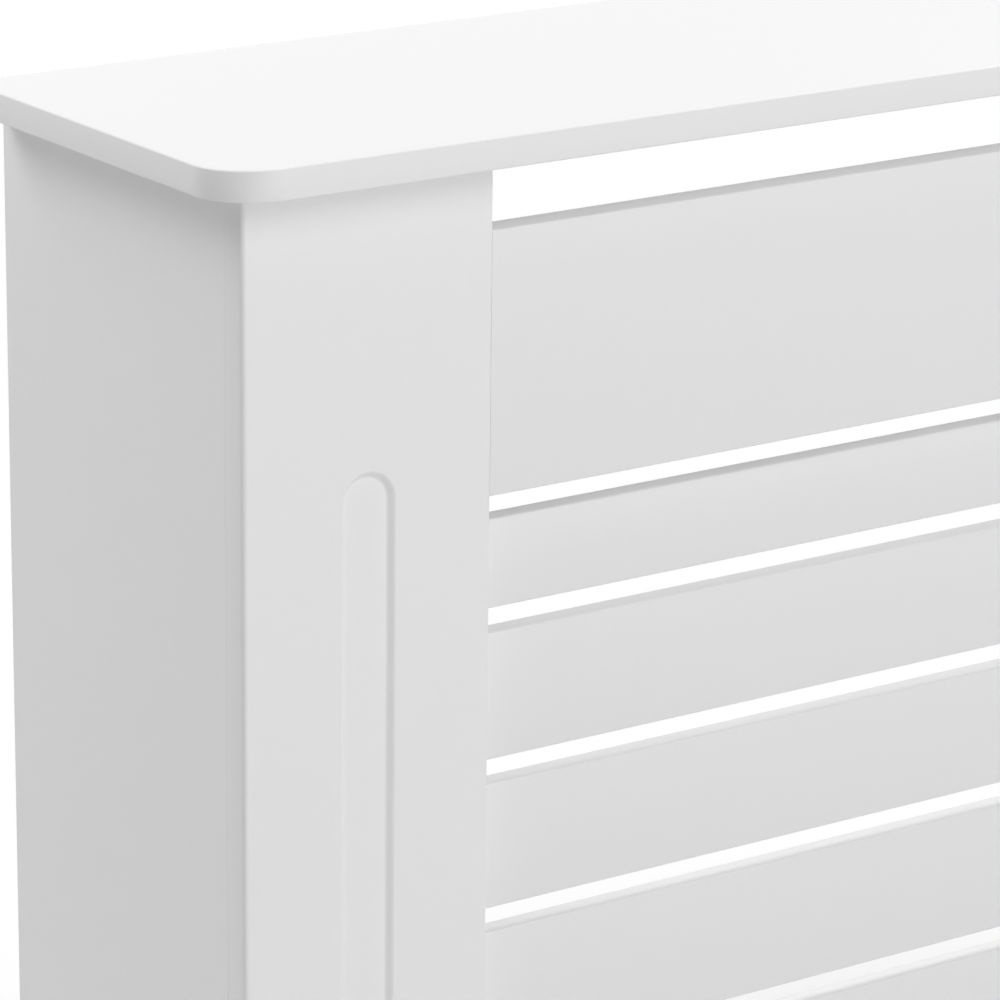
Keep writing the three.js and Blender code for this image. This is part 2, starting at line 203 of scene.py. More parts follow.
def make_piece(name, vertices, faces, slot_name, nodes, thin_axis=None, finish=None):
    """Adds one finished mesh object in the row frame that stands for its CAD nodes.

    A board's cut edges are marked by 1 - |n|, where n is the share of the normal along its thin axis.
    """
    mesh = bpy.data.meshes.new(name)
    mesh.from_pydata(np.asarray(vertices, float).reshape(-1, 3).tolist(), [], faces)
    mesh.validate()
    mesh.polygons.foreach_set("use_smooth", np.ones(len(mesh.polygons), bool))
    mesh.set_sharp_from_angle(angle=SHARP_ANGLE)
    if thin_axis is not None:
        normals = np.empty(len(mesh.vertices) * 3)
        mesh.vertex_normals.foreach_get("vector", normals)
        cut = 1 - np.abs(normals.reshape(-1, 3)[:, thin_axis])
        mesh.attributes.new("cut_edge", "FLOAT", "POINT").data.foreach_set("value", cut)
    finish_piece(name, mesh, slot_name, nodes, finish)


def finish_piece(name, mesh, slot_name, nodes, finish=None):
    """An object for a finished mesh that stands for its CAD nodes, in its slot's finish or a given one."""
    piece = bpy.data.objects.new(name, mesh)
    bpy.context.scene.collection.objects.link(piece)
    mesh.materials.append(cabinet_material(finish or slot_name))
    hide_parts(*nodes)
    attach(piece, "root")
    return piece


def board(node, points, mitres, profile, order, thin_axis, finish=None):
    """Adds a painted board that stands for one CAD node: its outline carried along its edge profile."""
    rings = in_row_frame(rings_of(points, mitres, *profile), order)
    faces = closed_faces(*rings.shape[:2])
    make_piece(node + "_board", rings, faces, "white_paint", [node], thin_axis, finish)


def cross_board(node, front_ease, back_ease, end_ease):
    """Adds a board across the front: a section in Y and Z with eased long edges, carried along X."""
    low, high = corners_of(node)
    corners = [(low[1], low[2]), (high[1], low[2]), (high[1], high[2]), (low[1], high[2])]
    radii = (front_ease, back_ease, back_ease, front_ease)
    points, mitres = outline(corners, radii, EASE_STEPS)
    profile = eased_profile(low[0], high[0], end_ease, end_ease)
    board(node, points, mitres, profile, SECTION, 1, "darker_white_paint")


def round_rings(radii, depths, angles):
    """Rings (step, angle, 3) round the third axis: r cos a, r sin a and the depth.

    The radii are one number for each ring, or one for each ring and angle.
    """
    radii = np.broadcast_to(radii, (len(depths), len(angles)))
    level = np.broadcast_to(depths[:, None], radii.shape)
    return np.stack([radii * np.cos(angles), radii * np.sin(angles), level], axis=-1)


def driven_in(rings, node, axis, sign):
    """Lays rings that start at depth 0 along an axis of the row frame, into the box of their CAD node.

    Depth goes along the axis with the sign given. The other two axes follow in cyclic order, and the second
    of them is turned with the sign, so that the faces still point outwards.
    """
    low, high = corners_of(node)
    middle = (low + high) / 2
    second, third = (axis + 1) % 3, (axis + 2) % 3
    placed = np.empty_like(rings)
    placed[..., second] = middle[second] + rings[..., 0]
    placed[..., third] = middle[third] + sign * rings[..., 1]
    placed[..., axis] = (low if sign > 0 else high)[axis] + sign * rings[..., 2]
    return placed


def screw_rings(length, sizes):
    """Rings of a countersunk wood screw, from the floor of its cross recess over the head to the tip.

    The recess is a cross in polar form: at angle a from the nearest arm its rim is the nearer of
    arm / cos a and half width / sin a, and deeper rings are that rim made smaller. The thread has a core:
    at depth w and angle a the tooth is 1 - |2 u - 1| / width, not below 0, where u is the fraction of
    w / pitch - a / full turn. Core and crest taper together to the tip.
    """
    angles = np.linspace(0, FULL_TURN, SCREW_SIDES, endpoint=False)
    from_arm = np.abs((angles + QUARTER_TURN / 2) % QUARTER_TURN - QUARTER_TURN / 2)
    side = np.full(len(angles), sizes.recess_arm)
    slanted = from_arm > 0
    side[slanted] = sizes.recess_half_width / np.sin(from_arm[slanted])
    cross = np.minimum(sizes.recess_arm / np.cos(from_arm), side)
    recess = np.array(RECESS_WIDTHS)[:, None] * cross
    recess_depths = sizes.recess_depth * np.array(RECESS_DEPTHS)

    head = sizes.head / 2
    crest = sizes.shank / 2
    core = crest * sizes.core_share
    neck = sizes.head_depth + crest
    body = np.array([head - sizes.rim, head, crest, core])
    body_depths = np.array([0.0, sizes.rim, sizes.head_depth, neck])

    depths = np.arange(neck + sizes.pitch / THREAD_STEPS, length, sizes.pitch / THREAD_STEPS)
    taper = np.clip((length - depths) / sizes.tip, 0, 1)
    starting = np.clip((depths - neck) / sizes.pitch, 0, 1)
    along = (depths[:, None] / sizes.pitch - angles / FULL_TURN) % 1
    tooth = np.clip(1 - np.abs(2 * along - 1) / TOOTH_WIDTH, 0, 1)
    thread = taper[:, None] * (core + (crest - core) * starting[:, None] * tooth)

    everywhere = np.ones(len(angles))
    radii = np.concatenate([recess, body[:, None] * everywhere, thread])
    return round_rings(radii, np.concatenate([recess_depths, body_depths, depths]), angles)


def dowel_rings(length, radius, chamfer, flute_depth):
    """Rings of a fluted dowel: its radius less depth (1 + cos n a) / 2 between the two chamfered ends."""
    angles = np.linspace(0, FULL_TURN, 4 * DOWEL_FLUTES, endpoint=False)
    fluted = radius - flute_depth * (1 + np.cos(DOWEL_FLUTES * angles)) / 2
    end = np.full(len(angles), radius - chamfer)
    radii = np.stack([end, fluted, fluted, end])
    return round_rings(radii, np.array([0.0, chamfer, length - chamfer, length]), angles)


def eased_copy(node, ease, slot_name):
    """Adds a CAD node's own shape as one skin that stands for it. A bevel eases its long sharp edges."""
    work = bmesh.new()
    work.from_mesh(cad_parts[node].data)
    bmesh.ops.remove_doubles(work, verts=work.verts, dist=MERGE_DISTANCE)
    bmesh.ops.dissolve_limit(work, angle_limit=FLAT_ANGLE, verts=work.verts, edges=work.edges)
    bmesh.ops.recalc_face_normals(work, faces=work.faces)
    weight = work.edges.layers.float.new("bevel_weight_edge")
    for edge in work.edges:
        is_long = edge.calc_length() > SHORTEST_EASED_EDGE
        edge[weight] = float(is_long and edge.calc_face_angle() > SHARP_ANGLE)
    mesh = bpy.data.meshes.new(node + "_eased")
    work.to_mesh(mesh)
    work.free()
    mesh.materials.clear()
    piece = finish_piece(node + "_eased", mesh, slot_name, [node])
    bevel = piece.modifiers.new("eased_edges", "BEVEL")
    bevel.width = ease
    bevel.segments = BEVEL_SEGMENTS
    bevel.limit_method = "WEIGHT"


# ---- Materials ----


def linear(hex_colour):
    """A linear RGBA colour from an sRGB one written as hex digits."""
    channels = np.array([int(hex_colour[i : i + 2], 16) for i in (1, 3, 5)]) / 255
    low = channels / 12.92
    high = ((channels + 0.055) / 1.055) ** 2.4
    return (*np.where(channels <= 0.04045, low, high), 1.0)


def add(tree, kind, x=0, y=0, numbered=(), **named):
    """Adds one shader node with its settings and links.

    A named value sets the node's property of that name, or else its input. A numbered one sets the input in
    that place, for nodes whose inputs share a name. A value that is a socket is linked.
    """
    made = tree.nodes.new(kind)
    made.location = (x, y)
    inputs = []
    for key, value in named.items():
        if hasattr(made, key):
            setattr(made, key, value)
        else:
            label = key.replace("_", " ").lower()
            inputs.append((next(s for s in made.inputs if s.name.lower() == label), value))
    inputs += [(made.inputs[place], value) for place, value in dict(numbered).items()]
    for socket, value in inputs:
        if isinstance(value, bpy.types.NodeSocket):
            tree.links.new(value, socket)
        else:
            socket.default_value = value
    return made


def new_material(name):
    """A material with an empty node tree."""
    material = bpy.data.materials.new(name)
    material.use_nodes = True
    material.node_tree.nodes.clear()
    return material


def sprayed_satin_paint_on_mdf(name, colour="#f3f3f3"):
    """White satin paint, sprayed on MDF."""
    tree = new_material(name).node_tree
    where = add(tree, "ShaderNodeTexCoord", -900).outputs["Object"]
    # Sprayed paint dries with a faint orange peel, about 1.6 mm from crest to crest and microns high.
    peel = add(tree, "ShaderNodeTexNoise", -700, Vector=where, Scale=620.0, Detail=2.0, Roughness=0.5)
    # The board under it is a little uneven over a hand's breadth, which bends the highlights slowly.
    wave = add(tree, "ShaderNodeTexNoise", -700, -250, Vector=where, Scale=9.0, Detail=1.0, Roughness=0.4)
    uneven = wave.outputs["Fac"]
    # Cut edges of MDF drink the paint: their finish is rougher and slightly fuzzy.
    edge = add(tree, "ShaderNodeAttribute", -700, -500, attribute_name="cut_edge").outputs["Fac"]
    sheen = add(tree, "ShaderNodeMapRange", -450, -350, Value=edge, To_Min=0.42, To_Max=0.52)
    slow = add(tree, "ShaderNodeBump", -450, -150, Strength=0.25, Distance=0.4 * MM, Height=uneven)
    fine = add(
        tree,
        "ShaderNodeBump",
        -200,
        -150,
        Strength=0.3,
        Distance=0.01 * MM,
        Height=peel.outputs["Fac"],
        Normal=slow.outputs["Normal"],
    )
    skin = add(
        tree,
        "ShaderNodeBsdfPrincipled",
        100,
        Base_Color=linear(colour),
        IOR=1.5,
        Roughness=sheen.outputs["Result"],
        Normal=fine.outputs["Normal"],
    )
    add(tree, "ShaderNodeOutputMaterial", 600, Surface=skin.outputs["BSDF"])


def thinly_sprayed_satin_paint_on_mdf(name):
    """The same paint in a slightly darker white, as rails and slats have it."""
    sprayed_satin_paint_on_mdf(name, "#f0f0f0")


def brushed_primer_on_pine(name):
    """Matt white primer, brushed on planed pine."""
    tree = new_material(name).node_tree
    where = add(tree, "ShaderNodeTexCoord", -900).outputs["Object"]
    # Pine grain and brush marks run along the batten, so the pattern is stretched up Z.
    drawn = add(tree, "ShaderNodeMapping", -750, Vector=where, Scale=(1.0, 1.0, 0.04)).outputs["Vector"]
    grain = add(tree, "ShaderNodeTexNoise", -550, Vector=drawn, Scale=700.0, Detail=3.0).outputs["Fac"]
    shades = {0: grain, 6: linear("#e4e3df"), 7: linear("#efeeeb")}
    tone = add(tree, "ShaderNodeMix", -250, 200, shades, data_type="RGBA").outputs[2]
    bump = add(tree, "ShaderNodeBump", -250, -150, Strength=0.5, Distance=0.06 * MM, Height=grain)
    skin = add(
        tree,
        "ShaderNodeBsdfPrincipled",
        100,
        Base_Color=tone,
        IOR=1.48,
        Roughness=0.72,
        Normal=bump.outputs["Normal"],
    )
    add(tree, "ShaderNodeOutputMaterial", 600, Surface=skin.outputs["BSDF"])


def turned_beech(name):
    """Bare beech, turned into dowels."""
    tree = new_material(name).node_tree
    where = add(tree, "ShaderNodeTexCoord", -900).outputs["Object"]
    # Beech has short dark flecks along the grain, here along X.
    drawn = add(tree, "ShaderNodeMapping", -750, Vector=where, Scale=(0.15, 1.0, 1.0)).outputs["Vector"]
    fleck = add(tree, "ShaderNodeTexNoise", -550, Vector=drawn, Scale=1400.0, Detail=2.0).outputs["Fac"]
    shades = {0: fleck, 6: linear("#c59a68"), 7: linear("#e0bd8f")}
    tone = add(tree, "ShaderNodeMix", -250, 200, shades, data_type="RGBA").outputs[2]
    skin = add(tree, "ShaderNodeBsdfPrincipled", 100, Base_Color=tone, Roughness=0.65, IOR=1.5)
    add(tree, "ShaderNodeOutputMaterial", 600, Surface=skin.outputs["BSDF"])


def moulded_white_plastic(name):
    """White polypropylene, injection moulded."""
    tree = new_material(name).node_tree
    where = add(tree, "ShaderNodeTexCoord", -900).outputs["Object"]
    # A spark-eroded mould leaves a fine even grain, about 0.4 mm.
    grain = add(tree, "ShaderNodeTexNoise", -550, Vector=where, Scale=2500.0, Detail=1.0).outputs["Fac"]
    bump = add(tree, "ShaderNodeBump", -250, -150, Strength=0.3, Distance=0.02 * MM, Height=grain)
    skin = add(
        tree,
        "ShaderNodeBsdfPrincipled",
        100,
        Base_Color=linear("#e6e6e3"),
        IOR=1.49,
        Roughness=0.48,
        Normal=bump.outputs["Normal"],
    )
    add(tree, "ShaderNodeOutputMaterial", 600, Surface=skin.outputs["BSDF"])


def zinc_plated_steel(name):
    """Pressed steel, zinc plated and clear passivated."""
    tree = new_material(name).node_tree
    where = add(tree, "ShaderNodeTexCoord", -900).outputs["Object"]
    # The passivated zinc is faintly mottled, with patches of 2 to 3 mm and a cool tint.
    mottle = add(tree, "ShaderNodeTexNoise", -550, Vector=where, Scale=380.0, Detail=3.0).outputs["Fac"]
    shades = {0: mottle, 6: linear("#b4b8bd"), 7: linear("#cfd1d2")}
    tone = add(tree, "ShaderNodeMix", -250, 200, shades, data_type="RGBA").outputs[2]
    sheen = add(tree, "ShaderNodeMapRange", -250, -100, Value=mottle, To_Min=0.28, To_Max=0.42).outputs[0]
    skin = add(tree, "ShaderNodeBsdfPrincipled", 100, Base_Color=tone, Metallic=1.0, Roughness=sheen)
    add(tree, "ShaderNodeOutputMaterial", 600, Surface=skin.outputs["BSDF"])


MATERIAL_MAKERS = {
    "white_paint": sprayed_satin_paint_on_mdf,
    "darker_white_paint": thinly_sprayed_satin_paint_on_mdf,
    "white_primer": brushed_primer_on_pine,
    "beech": turned_beech,
    "white_plastic": moulded_white_plastic,
    "zinc_plate": zinc_plated_steel,
}


# ---- Settings ----


class RadiatorCoverBoards(bpy.types.PropertyGroup):
    """Sizes of the boards' edges that the eye sees but the CAD model leaves out."""

    shelf_corner: bpy.props.FloatProperty(
        name="Shelf corner", description="Radius of the front corners", default=25 * MM, unit="LENGTH"
    )
    shelf_ease: bpy.props.FloatProperty(
        name="Shelf ease", description="Rounding of the shelf's edges", default=0.9 * MM, unit="LENGTH"
    )
    panel_ease: bpy.props.FloatProperty(
        name="Panel ease", description="Rounding of the side panels' edges", default=0.5 * MM, unit="LENGTH"
    )
    rail_ease: bpy.props.FloatProperty(
        name="Front ease", description="Rounding of front edges across", default=0.9 * MM, unit="LENGTH"
    )
    back_ease: bpy.props.FloatProperty(
        name="Back ease", description="Rounding of back edges across", default=0.5 * MM, unit="LENGTH"
    )
    end_ease: bpy.props.FloatProperty(
        name="End ease", description="Rounding of the slats' sawn ends", default=0.3 * MM, unit="LENGTH"
    )
    arris: bpy.props.FloatProperty(
        name="Outer arris", description="Rounding of outer upright edges", default=2 * MM, unit="LENGTH"
    )
    inner_arris: bpy.props.FloatProperty(
        name="Inner arris", description="Rounding of inner upright edges", default=0.3 * MM, unit="LENGTH"
    )


class RadiatorCoverFlute(bpy.types.PropertyGroup):
    """The routed flute of each pillar."""

    width: bpy.props.FloatProperty(
        name="Width", description="Width of the flute", default=25 * MM, unit="LENGTH"
    )
    margin: bpy.props.FloatProperty(
        name="Margin", description="Bare pillar above and below the flute", default=112 * MM, unit="LENGTH"
    )
    depth: bpy.props.FloatProperty(
        name="Depth", description="Depth of the flute", default=2.5 * MM, unit="LENGTH"
    )
    slope: bpy.props.FloatProperty(
        name="Slope", description="Width of the ogee between rim and floor", default=3.2 * MM, unit="LENGTH"
    )


class RadiatorCoverFasteners(bpy.types.PropertyGroup):
    """The countersunk wood screws and the dowels."""

    head: bpy.props.FloatProperty(
        name="Head", description="Diameter of a screw's head", default=7 * MM, unit="LENGTH"
    )
    head_depth: bpy.props.FloatProperty(
        name="Head depth", description="Height of a screw's countersunk head", default=2 * MM, unit="LENGTH"
    )
    rim: bpy.props.FloatProperty(
        name="Rim", description="Chamfer round a screw's head", default=0.12 * MM, unit="LENGTH"
    )
    shank: bpy.props.FloatProperty(
        name="Shank", description="Diameter over the thread", default=3.5 * MM, unit="LENGTH"
    )
    core_share: bpy.props.FloatProperty(
        name="Core", description="Core of the thread, as share of its crest", default=0.66, subtype="FACTOR"
    )
    pitch: bpy.props.FloatProperty(
        name="Pitch", description="From one turn of the thread to the next", default=1.8 * MM, unit="LENGTH"
    )
    tip: bpy.props.FloatProperty(
        name="Tip", description="Length of a screw's point", default=4 * MM, unit="LENGTH"
    )
    recess_arm: bpy.props.FloatProperty(
        name="Recess arm", description="Length of an arm of the cross", default=1.9 * MM, unit="LENGTH"
    )
    recess_half_width: bpy.props.FloatProperty(
        name="Recess half width", description="Half of an arm's width", default=0.45 * MM, unit="LENGTH"
    )
    recess_depth: bpy.props.FloatProperty(
        name="Recess depth", description="Depth of the cross recess", default=1.2 * MM, unit="LENGTH"
    )
    dowel_chamfer: bpy.props.FloatProperty(
        name="Dowel chamfer", description="Chamfer at a dowel's ends", default=0.8 * MM, unit="LENGTH"
    )
    dowel_flute: bpy.props.FloatProperty(
        name="Dowel flute", description="Depth of a dowel's glue flutes", default=0.2 * MM, unit="LENGTH"
    )
    batten_ease: bpy.props.FloatProperty(
        name="Batten ease", description="Rounding of planed edges", default=0.5 * MM, unit="LENGTH"
    )


class RadiatorCoverStage(bpy.types.PropertyGroup):
    """Light, floor and camera."""

    sky: bpy.props.FloatProperty(
        name="Sky", description="Strength of the even light from all round", default=0.20
    )
    lamp_size: bpy.props.FloatProperty(
        name="Lamp size", description="Side of each square lamp", default=1.5, unit="LENGTH"
    )
    lamp_distance: bpy.props.FloatProperty(
        name="Lamp distance", description="From the middle of the object", default=3.0, unit="LENGTH"
    )
    high_front_power: bpy.props.FloatProperty(
        name="High front", description="Lamp high up in front", default=28.0, unit="POWER"
    )
    low_front_power: bpy.props.FloatProperty(
        name="Low front", description="Lamp low in front", default=19.0, unit="POWER"
    )
    left_power: bpy.props.FloatProperty(
        name="Left", description="Lamp at the left side", default=6.0, unit="POWER"
    )
    left_rear_power: bpy.props.FloatProperty(
        name="Left rear", description="Lamp behind on the left", default=48.0, unit="POWER"
    )
    right_rear_power: bpy.props.FloatProperty(
        name="Right rear", description="Lamp behind on the right", default=23.0, unit="POWER"
    )
    lens: bpy.props.FloatProperty(
        name="Lens", description="Focal length in millimetres", default=179.83
    )


# ---- Pieces ----


class RADCOVER_OT_shelf(bpy.types.Operator):
    """The shelf: a thin board with two round front corners and eased edges"""

    bl_idname = "radcover.shelf"
    bl_label = "Shelf"

    def execute(self, context):
        sizes = context.scene.radcover_boards
        low, high = corners_of("top_shelf")
        corners = [(low[0], low[1]), (high[0], low[1]), (high[0], high[1]), (low[0], high[1])]
        rear_corner = sizes.shelf_ease + 2 * SEAM_BAND
        radii = (sizes.shelf_corner, sizes.shelf_corner, rear_corner, rear_corner)
        points, mitres = outline(corners, radii)
        profile = eased_profile(low[2], high[2], sizes.shelf_ease, sizes.shelf_ease)
        board("top_shelf", points, mitres, profile, PLAN, 2)
        return {"FINISHED"}


class RADCOVER_OT_side_panels(bpy.types.Operator):
    """The side panels: upright boards with a notch for the skirting board at the foot of the wall side"""

    bl_idname = "radcover.side_panels"
    bl_label = "Side panels"

    def execute(self, context):
        ease = context.scene.radcover_boards.panel_ease
        for label, _ in LEFT_TO_RIGHT:
            node = f"side_panel_{label}"
            low, high = corners_of(node)
            notch_y, notch_z = notch_of(node)
            corners = [
                (low[1], low[2]),
                (notch_y, low[2]),
                (notch_y, notch_z),
                (high[1], notch_z),
                (high[1], high[2]),
                (low[1], high[2]),
            ]
            corner = ease + 2 * SEAM_BAND
            points, mitres = outline(corners, (0, corner, 0, corner, corner, 0), EASE_STEPS)
            profile = eased_profile(low[0], high[0], ease, ease)
            board(node, points, mitres, profile, SECTION, 0)
        return {"FINISHED"}


def notch_of(node):
    """Where a side panel's notch ends, in Y and Z: the only corner of the CAD node inside its box."""
    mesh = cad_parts[node].data
    places = np.empty(len(mesh.vertices) * 3)
    mesh.vertices.foreach_get("co", places)
    places = places.reshape(-1, 3)
    low, high = corners_of(node)
    at_wall = places[np.isclose(places[:, 1], high[1], atol=SAME_PLACE)]
    at_floor = places[np.isclose(places[:, 2], low[2], atol=SAME_PLACE)]
    return at_floor[:, 1].max(), at_wall[:, 2].min()


class RADCOVER_OT_pillars(bpy.types.Operator):
    """The pillars: boards as tall as the case, with a rounded outer edge and one routed flute each"""

    bl_idname = "radcover.pillars"
    bl_label = "Pillars"

    def execute(self, context):
        sizes = context.scene.radcover_boards
        flute = context.scene.radcover_flute
        for label, side in LEFT_TO_RIGHT:
            node = f"front_pillar_{label}"
            rings = in_row_frame(pillar_rings(node, side, sizes, flute), ELEVATION)
            faces = closed_faces(*rings.shape[:2])
            make_piece(node + "_board", rings, faces, "white_paint", [node], 1)
        return {"FINISHED"}


def pillar_rings(node, side, sizes, flute):
    """Rings of a pillar, from its back over its edges and its front into the flute.

    Every ring has as many points, and the first one lies flat in the back face. On the flute they form
    straight sides and two half circles. On the board's rim each point goes out to the side, or to the top
    or bottom edge, that its direction from the centre of the half circle meets. The front face blends
    linearly between the two. The upright edges are quarter circles, whose radius goes evenly from the
    outer to the inner edge's across the width. The flute's side is an ogee: at t between 0 and 1 it is t
    times the slope's width inside the rim, and (1 - cos pi t) / 2 times the flute's depth below it.
    """
    low, high = corners_of(node)
    middle = (low[0] + high[0]) / 2
    half = (high[0] - low[0]) / 2
    radius = flute.width / 2
    top = high[2] - flute.margin - radius
    bottom = low[2] + flute.margin + radius
    reach = high[2] - top

    corner_angle = math.atan2(reach, half)
    to_corner = np.linspace(0, corner_angle, CORNER_STEPS // 2 + 1)
    over_top = np.linspace(corner_angle, math.pi - corner_angle, CORNER_STEPS // 2 + 1)[1:]
    from_corner = math.pi - to_corner[::-1][1:]
    angle = np.concatenate([to_corner, over_top, from_corner])
    round_end = np.stack([np.cos(angle), np.sin(angle)], axis=1)
    with np.errstate(divide="ignore"):
        stretch = np.minimum(half / np.abs(round_end[:, 0]), reach / np.abs(round_end[:, 1]))
    rim_end = stretch[:, None] * round_end
    up = np.array([middle, top])
    down = np.array([middle, bottom])
    normal = np.concatenate([round_end, -round_end])
    slot = np.concatenate([up + radius * round_end, down - radius * round_end])
    rim = np.concatenate([up + rim_end, down - rim_end])
    across = (rim[:, 0] - middle) / half
    mean_arris = (sizes.arris + sizes.inner_arris) / 2
    arris = mean_arris + side * across * (sizes.arris - sizes.inner_arris) / 2

    front = -low[1]
    back = -high[1]
    ease = np.linspace(0, QUARTER_TURN, EASE_STEPS + 1)
    ogee = np.linspace(0, 1, OGEE_STEPS + 1)

    def rim_ring(inset, height, band=0.0):
        """The board's rim, moved in across by the inset, and by the band both across and upright."""
        upright = rim[:, 1] - band * np.sign(rim[:, 1] - (top + bottom) / 2)
        level = np.broadcast_to(height, across.shape)
        return np.column_stack([middle + across * (half - inset - band), upright, level])

    def slot_ring(growth, height):
        """The flute's rim, moved out by the growth."""
        return np.column_stack([slot + growth * normal, np.full(len(slot), height)])

    rings = [slot_ring(0.0, back), rim_ring(0.0, back)]
    rings += [rim_ring(arris * (1 - math.cos(a)), front - arris * (1 - math.sin(a))) for a in ease]
    rings.append(rim_ring(arris, front, SEAM_BAND))
    rings.append(slot_ring(SEAM_BAND, front))
    for t in ogee:
        rings.append(slot_ring(-flute.slope * t, front - flute.depth * (1 - math.cos(math.pi * t)) / 2))
    rings.append(slot_ring(-flute.slope - SEAM_BAND, front - flute.depth))
    return np.stack(rings)


class RADCOVER_OT_rails(bpy.types.Operator):
    """The rails: boards between the pillars, flush with their fronts"""

    bl_idname = "radcover.rails"
    bl_label = "Rails"

    def execute(self, context):
        sizes = context.scene.radcover_boards
        for node in ("upper_rail", "lower_rail"):
            cross_board(node, sizes.rail_ease, sizes.back_ease, 0.0)
        return {"FINISHED"}


class RADCOVER_OT_slats(bpy.types.Operator):
    """The slats: thin boards across the back of the pillars"""

    bl_idname = "radcover.slats"
    bl_label = "Slats"

    def execute(self, context):
        sizes = context.scene.radcover_boards
        for node in [n for n in nodes_named("slat_") if "screw" not in n]:
            cross_board(node, sizes.rail_ease, sizes.back_ease, sizes.end_ease)
        return {"FINISHED"}


class RADCOVER_OT_battens(bpy.types.Operator):
    """The battens and packers: planed pine behind the front, with a countersunk hole for each screw"""

    bl_idname = "radcover.battens"
    bl_label = "Battens"

    def execute(self, context):
        ease = context.scene.radcover_fasteners.batten_ease
        for node in nodes_named(("middle_batten", "packer_", "corner_batten_")):
            eased_copy(node, ease, "white_primer")
        return {"FINISHED"}


class RADCOVER_OT_fittings(bpy.types.Operator):
    """The corner blocks and the wall brackets under the shelf: the CAD nodes with their own finishes"""

    bl_idname = "radcover.fittings"
    bl_label = "Fittings"

    def execute(self, context):
        for prefix, slot_name in (("corner_block_", "white_plastic"), ("wall_bracket_", "zinc_plate")):
            for node in nodes_named(prefix):
                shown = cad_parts[node]
                shown.data.materials.clear()
                shown.data.materials.append(cabinet_material(slot_name))
        return {"FINISHED"}


# Which way screws are driven: axis of the row frame and sign. None is outwards, to the screw's own side.
SCREW_DIRECTIONS = {
    "slat_screw_": (1, -1),
    "rail_screw_": (1, -1),
    "batten_screw_": (0, None),
    "block_side_screw_": (0, None),
    "block_shelf_screw_": (2, 1),
    "bracket_screw_": (2, 1),
}


class RADCOVER_OT_screws(bpy.types.Operator):
    """The wood screws: countersunk, with a cross recess and a full thread"""

    bl_idname = "radcover.screws"
    bl_label = "Screws"

    def execute(self, context):
        sizes = context.scene.radcover_fasteners
        for prefix, (axis, sign) in SCREW_DIRECTIONS.items():
            for node in nodes_named(prefix):
                low, high = corners_of(node)
                towards = sign or int(np.sign(low[axis] + high[axis]))
                rings = driven_in(screw_rings(high[axis] - low[axis], sizes), node, axis, towards)
                faces = closed_faces(*rings.shape[:2])
                make_piece(node + "_threaded", rings, faces, "zinc_plate", [node])
        return {"FINISHED"}


class RADCOVER_OT_dowels(bpy.types.Operator):
    """The dowels: beech, fluted along for the glue, between rails and pillars"""

    bl_idname = "radcover.dowels"
    bl_label = "Dowels"

    def execute(self, context):
        sizes = context.scene.radcover_fasteners
        for node in nodes_named("dowel_"):
            low, high = corners_of(node)
            radius = (high[2] - low[2]) / 2
            rings = dowel_rings(high[0] - low[0], radius, sizes.dowel_chamfer, sizes.dowel_flute)
            faces = closed_faces(*rings.shape[:2])
            make_piece(node + "_fluted", driven_in(rings, node, 0, 1), faces, "beech", [node])
        return {"FINISHED"}


# ---- Stage ----


def seen_plain(tree):
    """A socket that is 1 on camera, glossy and transmission rays, which show what is behind or mirrored."""
    rays = add(tree, "ShaderNodeLightPath", -900, 300).outputs
    pair = {0: rays["Is Camera Ray"], 1: rays["Is Glossy Ray"]}
    shiny = add(tree, "ShaderNodeMath", -700, 400, pair, operation="MAXIMUM").outputs[0]
    pair = {0: shiny, 1: rays["Is Transmission Ray"]}
    return add(tree, "ShaderNodeMath", -500, 400, pair, operation="MAXIMUM").outputs[0]


def white_world(strength):
    """An even sky. Camera and reflections see it as plain white, whatever its strength as a light."""
    world = bpy.data.worlds.new("sky")
    bpy.context.scene.world = world
    world.use_nodes = True
    tree = world.node_tree
    tree.nodes.clear()
    light = add(tree, "ShaderNodeBackground", -200, 100, Color=PLAIN_WHITE, Strength=strength).outputs[0]
    plain = add(tree, "ShaderNodeBackground", -200, -100, Color=PLAIN_WHITE, Strength=1.0).outputs[0]
    mix = add(tree, "ShaderNodeMixShader", 0, 0, {0: seen_plain(tree), 1: light, 2: plain})
    add(tree, "ShaderNodeOutputWorld", 200, Surface=mix.outputs[0])


def floor_material():
    """A matt white floor that keeps the shadow near the object and fades to plain white further out."""
    material = new_material("studio_floor")
    tree = material.node_tree
    seen = seen_plain(tree)
    where = add(tree, "ShaderNodeTexCoord", -900).outputs["Object"]
    away = add(tree, "ShaderNodeVectorMath", -700, operation="LENGTH", Vector=where).outputs["Value"]
    near, far = FLOOR_FADE
    fade = add(
        tree,
        "ShaderNodeMapRange",
        -500,
        interpolation_type="SMOOTHSTEP",
        Value=away,
        From_Min=near,
        From_Max=far,
    )
    greys = {0: seen, 6: (*[FLOOR_WHITE] * 3, 1.0), 7: (*[FLOOR_WHITE_SEEN] * 3, 1.0)}
    tint = add(tree, "ShaderNodeMix", -500, 250, greys, data_type="RGBA").outputs[2]
    matt = add(tree, "ShaderNodeBsdfDiffuse", -200, 200, Color=tint).outputs[0]
    plain = add(tree, "ShaderNodeEmission", -200, -100, Color=PLAIN_WHITE, Strength=1.0).outputs[0]
    pair = {0: fade.outputs["Result"], 1: seen}
    share = add(tree, "ShaderNodeMath", -200, 50, pair, operation="MULTIPLY").outputs[0]
    mix = add(tree, "ShaderNodeMixShader", 100, 0, {0: share, 1: matt, 2: plain})
    add(tree, "ShaderNodeOutputMaterial", 600, Surface=mix.outputs[0])
    return material


